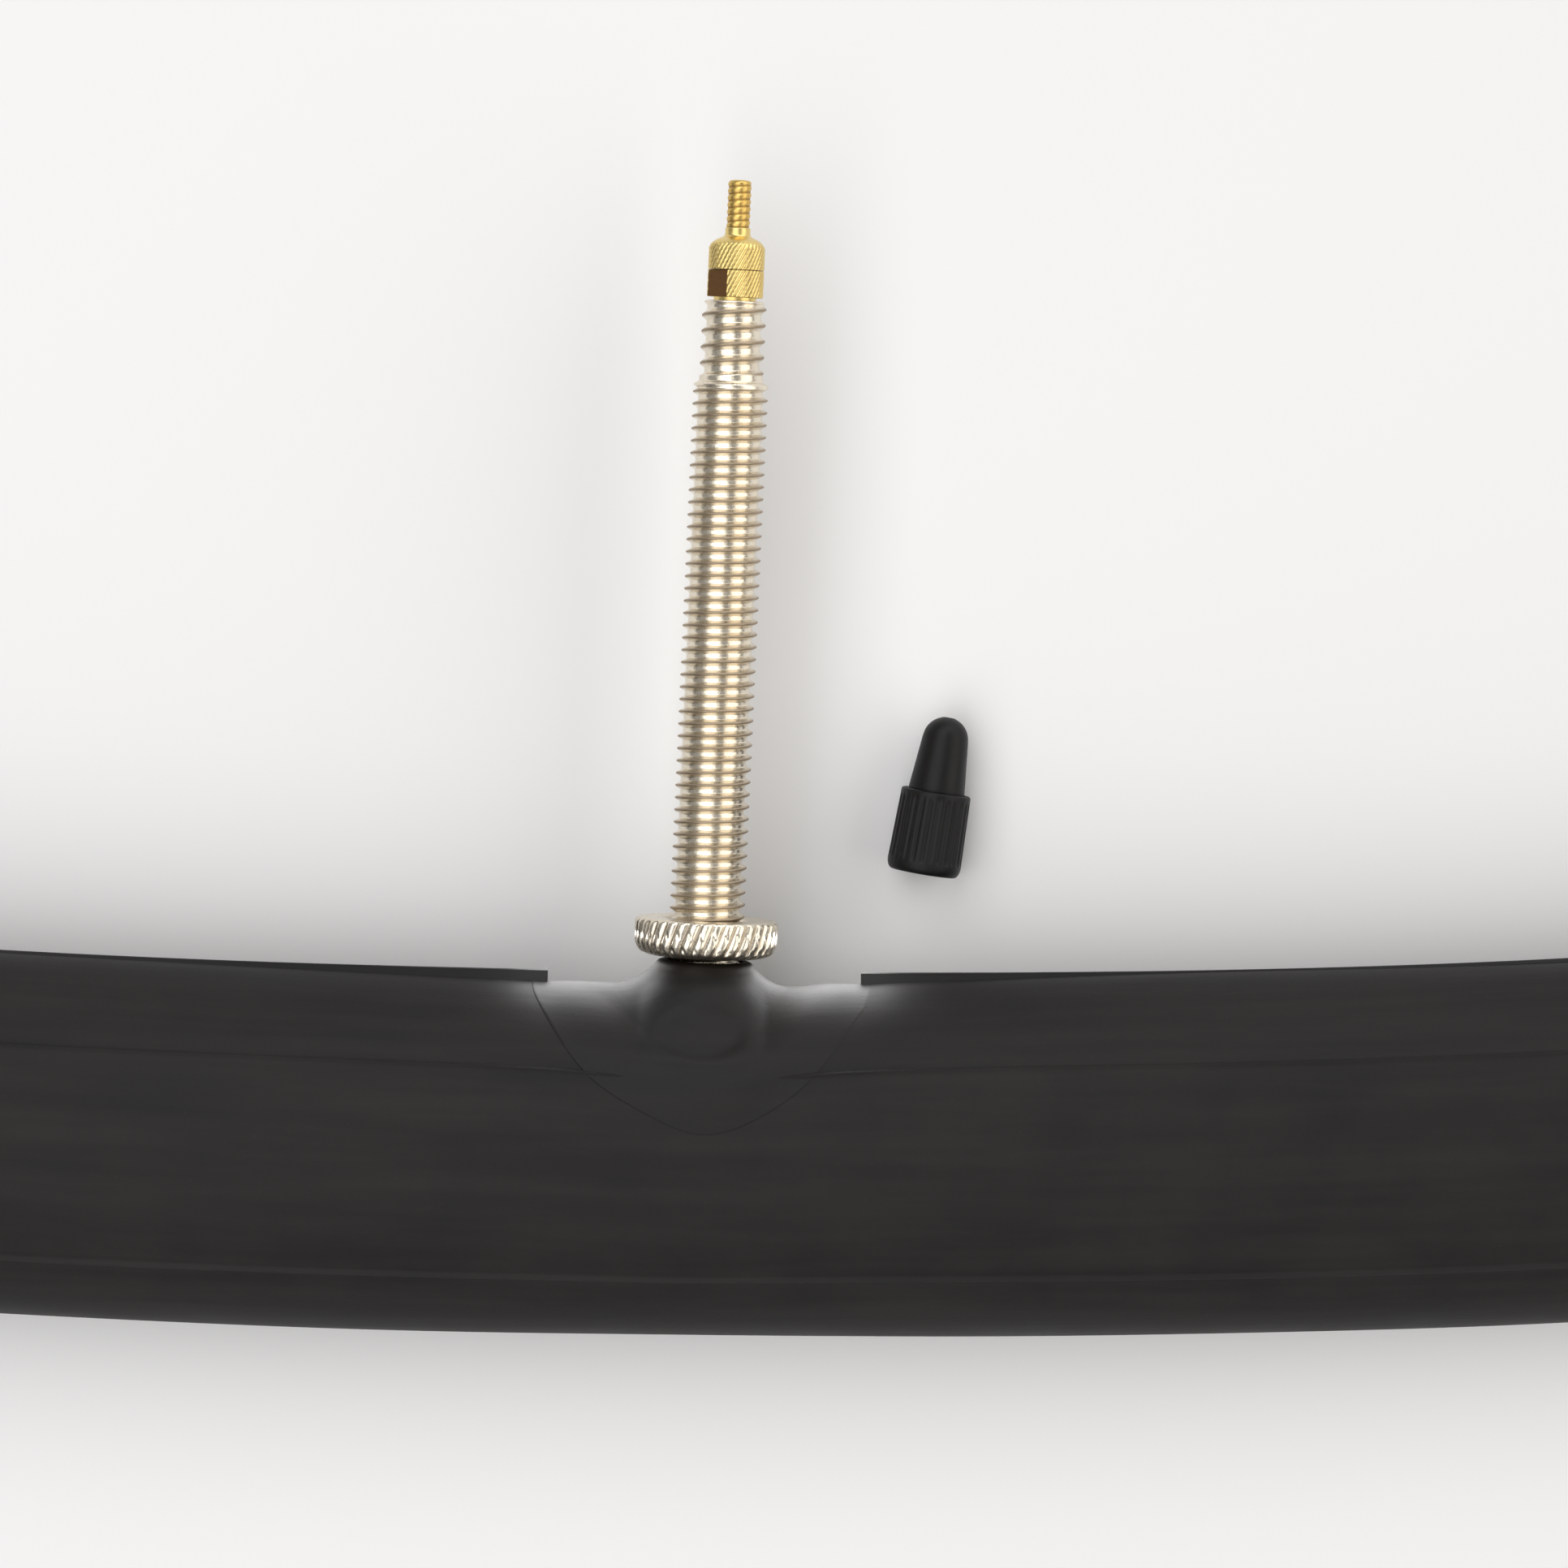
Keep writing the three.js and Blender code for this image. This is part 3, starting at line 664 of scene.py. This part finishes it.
def lock_nut_shape(angle, radius, height):
    """The knurl on the lock nut, which fades out on its shoulder."""
    ends = (KNURL_FROM, LOCK_NUT_SHOULDER + 0.4)
    cut, crest = knurled(angle, radius, height, *ends, KNURL_TEETH, KNURL_PITCH, KNURL_DEPTH, KNURL_FADE)
    wide = radius > HEAD_RADIUS - 0.33
    return np.where(wide, cut, radius), np.where(wide, crest, 1.0)


def make_lock_nut():
    """A knurled drum with a domed shoulder that narrows to a thin collar round the pin."""
    low, shoulder = SEAM_HEIGHT + LOCK_NUT_GAP, LOCK_NUT_SHOULDER
    outline = eased([
        (LOCK_NUT_MOUTH, low), (HEAD_RADIUS - 0.04, low), (HEAD_RADIUS, low + 0.04),
        (HEAD_RADIUS, shoulder - 0.2), (2.08, shoulder + 0.1), (1.75, shoulder + 0.4),
        (1.3, shoulder + 0.62), (1.06, shoulder + 0.72), (LOCK_NUT_COLLAR, shoulder + 0.95),
        (LOCK_NUT_COLLAR, LOCK_NUT_TOP - 0.05), (LOCK_NUT_BORE + 0.01, LOCK_NUT_TOP),
        (LOCK_NUT_BORE, LOCK_NUT_TOP), (LOCK_NUT_BORE, low + 0.2), (LOCK_NUT_MOUTH, low),
    ], radius=0.12)
    outline = refined(outline, low, shoulder + 0.4, step=0.05)
    return turned("lock_nut_knurled", outline, HEAD_SIDES, shape=lock_nut_shape, sharp=50)


# ---- Dust cap ----

CAP_LENGTH, CAP_SKIRT, CAP_RADIUS = 12.8, 6.7, 3.0
CAP_SKIRT_TAPER = 0.17
CAP_LIP_WIDTH, CAP_LIP_HEIGHT = 0.45, 0.9
CAP_CONE_RADIUS, CAP_DOME_RADIUS = 2.28, 1.85
CAP_BORE, CAP_TIP_BORE, CAP_ROOF = 2.5, 1.3, 11.7
CAP_FLUTES, CAP_FLUTE_DEPTH = 26, 0.1
FLUTE_LOW, FLUTE_HIGH = CAP_LIP_HEIGHT, CAP_SKIRT - 0.45
FLUTE_LOW_FADE, FLUTE_HIGH_FADE = 0.3, 0.25
CAP_SIDES = 12 * CAP_FLUTES
CAP_BESIDE, CAP_ALONG, CAP_CLEAR = 17.5, 7.7, 0.02
CAP_LEAN = math.radians(-9)
CAP_SPOT = VALVE_FOOT + Vector((CAP_BESIDE, CAP_ALONG, 0)) * MM
CAP_PLACE = Matrix.Translation(CAP_SPOT) @ Matrix.Rotation(CAP_LEAN, 4, "Z")
CAP_PLACE.translation.z = (CAP_RADIUS + CAP_CLEAR) * MM


def cap_shape(angle, radius, height):
    """Fine flutes on the skirt."""
    flute = (0.5 - 0.5 * np.cos(CAP_FLUTES * angle)) ** 2
    ends = smooth((height - FLUTE_LOW) / FLUTE_LOW_FADE) * smooth((FLUTE_HIGH - height) / FLUTE_HIGH_FADE)
    outside = radius > CAP_BORE + 0.2
    flute = np.where(outside, flute * ends, 0)
    return radius - CAP_FLUTE_DEPTH * flute, 1 - flute


def make_cap():
    """A bore with a rounded lip, a skirt that narrows a little, a groove, a cone and a dimpled dome."""
    quarter = np.linspace(0, math.pi / 2, 8)
    lip_start = CAP_RADIUS - CAP_LIP_WIDTH
    lip = [(lip_start + CAP_LIP_WIDTH * math.sin(t), CAP_LIP_HEIGHT * (1 - math.cos(t)))
           for t in quarter]
    dome_foot = CAP_LENGTH - CAP_DOME_RADIUS
    dome = [(CAP_DOME_RADIUS * math.cos(t), dome_foot + CAP_DOME_RADIUS * math.sin(t))
            for t in np.linspace(0.1, math.pi / 2 - 0.3, 12)]
    skirt_top = CAP_RADIUS - CAP_SKIRT_TAPER
    outline = [
        (0, CAP_ROOF), (CAP_TIP_BORE, CAP_ROOF - 0.6), (CAP_TIP_BORE, CAP_SKIRT + 0.6),
        (CAP_TIP_BORE + 0.4, CAP_SKIRT), (CAP_BORE, CAP_SKIRT - 0.9), (CAP_BORE, 0.12), *lip,
        (skirt_top, CAP_SKIRT - 0.12), (skirt_top - 0.12, CAP_SKIRT), (CAP_CONE_RADIUS + 0.22, CAP_SKIRT),
        (CAP_CONE_RADIUS + 0.04, CAP_SKIRT - 0.12), (CAP_CONE_RADIUS - 0.02, CAP_SKIRT - 0.1),
        (CAP_CONE_RADIUS, CAP_SKIRT + 0.15), (CAP_DOME_RADIUS + 0.02, dome_foot), *dome,
        (0.45, CAP_LENGTH - 0.03), (0.3, CAP_LENGTH - 0.16), (0, CAP_LENGTH - 0.2),
    ]
    outline = refined(eased(outline, radius=0.08, steps=2), CAP_LIP_HEIGHT, CAP_SKIRT, step=0.2)
    return turned("dust_cap_fluted", outline, CAP_SIDES, place=CAP_PLACE, shape=cap_shape, sharp=45)


# ---- Finishes: noise scales are in features per metre ----

STREAK_STRETCH = (30, 420, 1)
TALC_CLOUDS, TALC_SPECKS, RUBBER_GRAIN = 95.0, 1900.0, 2600.0
# Painted shadow under the rim nut, dark brown as a painted reflection of brass.
NUT_SHADOW_BROWN = (0.006, 0.0035, 0.002)
TARNISH_SIZE, METAL_GRAIN = 420.0, 5200.0
DARK_ROUGHER = 0.2
PLASTIC_CLOUDS, PLASTIC_GRAIN = 260.0, 3500.0


def rubber_finish(name, dark, light, streak=1.0, roughness=0.62, nut_shadowed=False):
    """Butyl rubber: dark, dusted with talc in streaks along the tube. On a piece built with the mask, the
    boss under the rim nut gets a painted shadow, dark brown as a painted reflection of brass."""
    finish = Finish(name, IOR=1.5, Specular_IOR_Level=0.22)
    along, around = finish.attribute("along"), finish.attribute("around")
    where = finish.add("CombineXYZ", X=along, Y=around).outputs["Vector"]
    streaks = finish.noise(finish.stretched(where, STREAK_STRETCH), 1.0, 5.0)
    clouds = finish.noise(where, TALC_CLOUDS, 5.0, 0.6)
    specks = finish.noise(where, TALC_SPECKS, 3.0, 0.6)
    streaked = finish.remap(streaks, 0.35, 0.7, 0, 0.5 * streak)
    dust = finish.sum(streaked, finish.remap(clouds, 0.35, 0.7, 0, 0.5))
    dust = finish.sum(dust, finish.remap(specks, 0.62, 0.78, 0, 0.35))
    colour = finish.mix(dust, dark, light)
    if nut_shadowed:
        # Painted shadow under the rim nut, on the top of the boss.
        colour = finish.mix(finish.attribute("nut_shadow"), colour, NUT_SHADOW_BROWN)
    grain = finish.bump(finish.noise(where, RUBBER_GRAIN, 3.0), 0.00003, 0.35)
    normal = finish.bump(streaks, 0.00012, 0.3, grain)
    rough = finish.remap(clouds, 0.3, 0.7, roughness - 0.06, roughness + 0.06)
    return finish.done(Base_Color=colour, Roughness=rough, Normal=normal)


def metal_finish(name, bright, dark, tarnish, roughness=0.24):
    """Turned metal: bright where the crest attribute is high, darker and rougher where it is low, with
    faint tarnish and a fine grain. Low values are painted shade on the stem's thread crests and on the
    core's flats, and darker metal in thread roots and knurl hollows."""
    finish = Finish(name, Metallic=1.0)
    where = finish.place()
    blotches = finish.noise(where, TARNISH_SIZE, 5.0, 0.6)
    grain = finish.noise(where, METAL_GRAIN, 3.0, 0.6)
    lit_and_clean = finish.remap(finish.attribute("crest"), 0.0, 0.5)
    clean = finish.mix(finish.remap(blotches, 0.5, 0.75, 0, 0.6), bright, tarnish)
    colour = finish.mix(lit_and_clean, dark, clean)
    even_rough = finish.remap(lit_and_clean, 0, 1, roughness + DARK_ROUGHER, roughness)
    rough = finish.sum(even_rough, finish.remap(grain, 0.3, 0.7, -0.05, 0.08))
    return finish.done(Base_Color=colour, Roughness=rough, Normal=finish.bump(grain, 0.00002, 0.4))


def plastic_finish(name, colour, lighter, roughness, grain_scale=PLASTIC_GRAIN):
    """Moulded plastic or rubber: fine grain, rubbed lighter in patches."""
    finish = Finish(name, IOR=1.48, Specular_IOR_Level=0.25)
    where = finish.place()
    clouds = finish.noise(where, PLASTIC_CLOUDS, 5.0, 0.6)
    grain = finish.noise(where, grain_scale, 3.0, 0.6)
    shade = finish.mix(finish.remap(clouds, 0.45, 0.75, 0, 1), colour, lighter)
    rough = finish.remap(clouds, 0.3, 0.7, roughness - 0.06, roughness + 0.08)
    return finish.done(Base_Color=shade, Roughness=rough, Normal=finish.bump(grain, 0.00003, 0.4))


RUBBER = rubber_finish("butyl rubber", dark=(0.0080, 0.0074, 0.0074), light=(0.020, 0.0187, 0.0178))
# The base rubber carries the painted shadow under the rim nut.
BASE_RUBBER = rubber_finish(
    "base rubber", dark=(0.0064, 0.0060, 0.0060), light=(0.0165, 0.0154, 0.0146),
    streak=0.8, roughness=0.53, nut_shadowed=True)
# A darker copy of the tube's rubber with less talc: painted shade for the dark line of the fin.
FIN_RUBBER = rubber_finish(
    "seam rubber", dark=(0.006, 0.0058, 0.0056), light=(0.012, 0.0115, 0.011), streak=0.4)
# Its dark colour is painted shade on the stem's thread crests, and darker metal in the rim nut's knurl
# hollows.
NICKEL = metal_finish(
    "nickel plate", bright=(0.81, 0.735, 0.61), dark=(0.34, 0.265, 0.185), tarnish=(0.66, 0.56, 0.42))
# Its dark colour is painted shade on the core's flats, and darker metal in thread roots and knurl hollows.
BRASS = metal_finish(
    "brass", bright=(0.77, 0.59, 0.225), dark=(0.17, 0.085, 0.03), tarnish=(0.72, 0.48, 0.16),
    roughness=0.3)
PIN_BRASS = metal_finish(
    "golden brass", bright=(0.67, 0.46, 0.14), dark=(0.31, 0.18, 0.05), tarnish=(0.64, 0.39, 0.09),
    roughness=0.32)
PLASTIC = plastic_finish(
    "black plastic", colour=(0.0042, 0.0042, 0.0044), lighter=(0.0085, 0.0085, 0.0085), roughness=0.45)
SEAL = plastic_finish(
    "seal rubber", colour=(0.014, 0.013, 0.013), lighter=(0.03, 0.029, 0.028), roughness=0.6)
GASKET = plastic_finish(
    "white gasket", colour=(0.72, 0.70, 0.65), lighter=(0.80, 0.78, 0.74), roughness=0.45,
    grain_scale=1500.0)


# ---- Assembly ----

def install(piece, body, slot, finish, *nodes):
    piece.data.materials.append(finish)
    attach(piece, body)
    if nodes:
        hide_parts(*nodes)


install(make_tube(), "tube", "butyl_rubber", RUBBER, "inner_tube")
install(make_fin(), "tube", "butyl_rubber", FIN_RUBBER)
install(make_base(), "tube", "base_rubber", BASE_RUBBER, "valve_base_patch")
install(make_stem(), "tube", "nickel_plate", NICKEL, "valve_stem")
install(make_rim_nut(), "rim_nut", "nickel_plate", NICKEL, "rim_nut")
install(make_core(), "core", "brass", BRASS, "core_body")
install(make_gasket(), "core", "white_gasket", GASKET, "core_gasket")
install(make_pin(), "pin", "brass", PIN_BRASS, "valve_pin")
install(make_seal(), "pin", "seal_rubber", SEAL, "pin_seal")
install(make_foot(), "pin", "brass", BRASS, "pin_foot")
install(make_lock_nut(), "lock_nut", "brass", BRASS, "lock_nut")
install(make_cap(), "dust_cap", "black_plastic", PLASTIC, "dust_cap")


# ---- Stage ----

FLOOR_REACH = 3.0
FLOOR_COLOUR = (0.87, 0.87, 0.875, 1)


def make_floor():
    line = np.linspace(-FLOOR_REACH, FLOOR_REACH, 3)
    x, y = np.meshgrid(line, line, indexing="ij")
    points = np.stack([x, y, np.zeros_like(x)], axis=-1)
    floor = make_piece("floor", points, grid_faces(len(line), len(line), False, False))
    if floor.data.polygons[0].normal.z < 0:
        floor.data.flip_normals()
    finish = Finish("floor", Base_Color=FLOOR_COLOUR, Roughness=0.9, Specular_IOR_Level=0.1)
    floor.data.materials.append(finish.material)


def add_light(name, place, size, radiance, colour=(1, 1, 1), aim=(0, 0, 0)):
    """A rectangular light that faces aim; place and aim are in metres from the valve's foot. size is
    its width and then its length, which lies along +Y, or upright if the light faces along Y.
    radiance is how bright it looks."""
    lamp = bpy.data.lights.new(name, "AREA")
    lamp.shape = "RECTANGLE"
    lamp.size, lamp.size_y = size
    lamp.energy = radiance * math.pi * size[0] * size[1]
    lamp.color = colour
    light = bpy.data.objects.new(name, lamp)
    bpy.context.scene.collection.objects.link(light)
    back = (Vector(place) - Vector(aim)).normalized()
    faces_along_y = abs(back.y) > 0.9
    along = Vector((0, 0, 1)) if faces_along_y else Vector((0, 1, 0))
    across = along.cross(back).normalized()
    turn = Matrix((across, back.cross(across), back)).transposed().to_4x4()
    light.matrix_world = Matrix.Translation(VALVE_FOOT + Vector(place)) @ turn
    return light


def add_far_card():
    """A long card beyond the valve's tip that only shows as a sheen on the tube's inner side."""
    card = add_light("far_card", place=(0.2, 0.62, 0.24), size=(1.3, 0.3), radiance=2.1)
    card.visible_camera = False
    card.visible_diffuse = False


GLOW_BESIDE, GLOW_ALONG, GLOW_BELOW = 0.0105, 0.0035, 0.0035
GLOW_SIZE, GLOW_RADIANCE = (0.008, 0.013), 7.8


def add_edge_glow():
    """Two small cards beside the valve that only show as a sheen on the base's inner edge."""
    for name, side in (("left_glow", -1), ("right_glow", 1)):
        place = Vector((side * GLOW_BESIDE, GLOW_ALONG, -GLOW_BELOW))
        glow = add_light(name, place, GLOW_SIZE, GLOW_RADIANCE, aim=place - Vector((0, 1, 0)))
        glow.visible_camera = False
        glow.visible_diffuse = False


def set_world(colour, strength):
    world = bpy.data.worlds.new("studio")
    world.use_nodes = True
    background = world.node_tree.nodes["Background"]
    background.inputs["Color"].default_value = (*colour, 1)
    background.inputs["Strength"].default_value = strength
    bpy.context.scene.world = world


CAMERA_AIM = Vector((6.2, 15.2, 0)) * MM
CAMERA_DISTANCE = 0.521
CAMERA_LENS, CAMERA_SENSOR = 150, 36
CAMERA_NEAR, CAMERA_FAR = 0.01, 20
CAMERA_PITCH = math.radians(3)
CAMERA_ROLL = math.radians(0.62)


def place_camera():
    data = bpy.data.cameras.new("camera")
    data.lens, data.sensor_width = CAMERA_LENS, CAMERA_SENSOR
    data.clip_start, data.clip_end = CAMERA_NEAR, CAMERA_FAR
    camera = bpy.data.objects.new("camera", data)
    bpy.context.scene.collection.objects.link(camera)
    turn = Matrix.Rotation(-CAMERA_PITCH, 4, "X") @ Matrix.Rotation(CAMERA_ROLL, 4, "Z")
    back = turn @ Vector((0, 0, CAMERA_DISTANCE))
    camera.matrix_world = Matrix.Translation(VALVE_FOOT + CAMERA_AIM + back) @ turn
    bpy.context.scene.camera = camera


make_floor()
set_world(colour=(1.0, 0.995, 0.99), strength=0.3)
add_light("left_panel", place=(-0.23, 0, 0.61), size=(0.6, 1.6), radiance=1.6)
add_light("right_panel", place=(1.0, 0, 0.6), size=(1.0, 2.2), radiance=1.45, colour=(1.0, 0.96, 0.9))
add_far_card()
add_edge_glow()
place_camera()
bpy.context.scene.view_settings.view_transform = "Standard"
